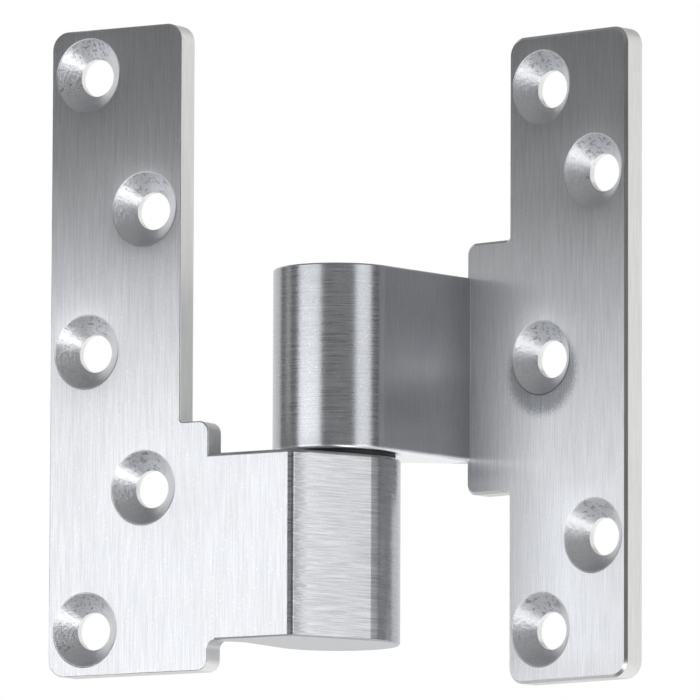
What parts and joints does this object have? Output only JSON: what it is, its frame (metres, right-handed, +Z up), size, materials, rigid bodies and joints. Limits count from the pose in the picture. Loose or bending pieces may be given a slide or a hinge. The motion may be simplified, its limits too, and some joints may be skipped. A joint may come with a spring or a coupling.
{
  "type": "pivot hinge",
  "caption": "Offset pivot hinge: flat countersunk leaves on arms that meet in a pinned knuckle standing out from the door's corner.",
  "frame": {"origin": "middle of the lower leaf's flat back, which lies against the door frame", "axes": "+Y out of the lower leaf's back, +Z up along the pin, +X along the lower leaf towards the pin"},
  "size_m": [0.1086, 0.05, 0.1283],
  "materials": {
    "leaf_steel": "brushed along the leaf, turned satin on the knuckles",
    "pin_steel": "hardened and ground",
    "bush_bronze": "turned bronze",
    "washer_plastic": "matt black"
  },
  "bodies": {
    "frame_leaf": {"lower_leaf": "leaf_steel", "pivot_pin": "pin_steel", "thrust_washer": "washer_plastic"},
    "door_leaf": {"upper_leaf": "leaf_steel", "bearing_bush": "bush_bronze"}
  },
  "joints": [
    {"name": "pivot", "type": "hinge", "parent": "frame_leaf", "child": "door_leaf", "pos_m": [0.03715, 0.01744, -0.02135], "axis": [0, 0, 1], "range_deg": [-170, 10]}
  ]
}
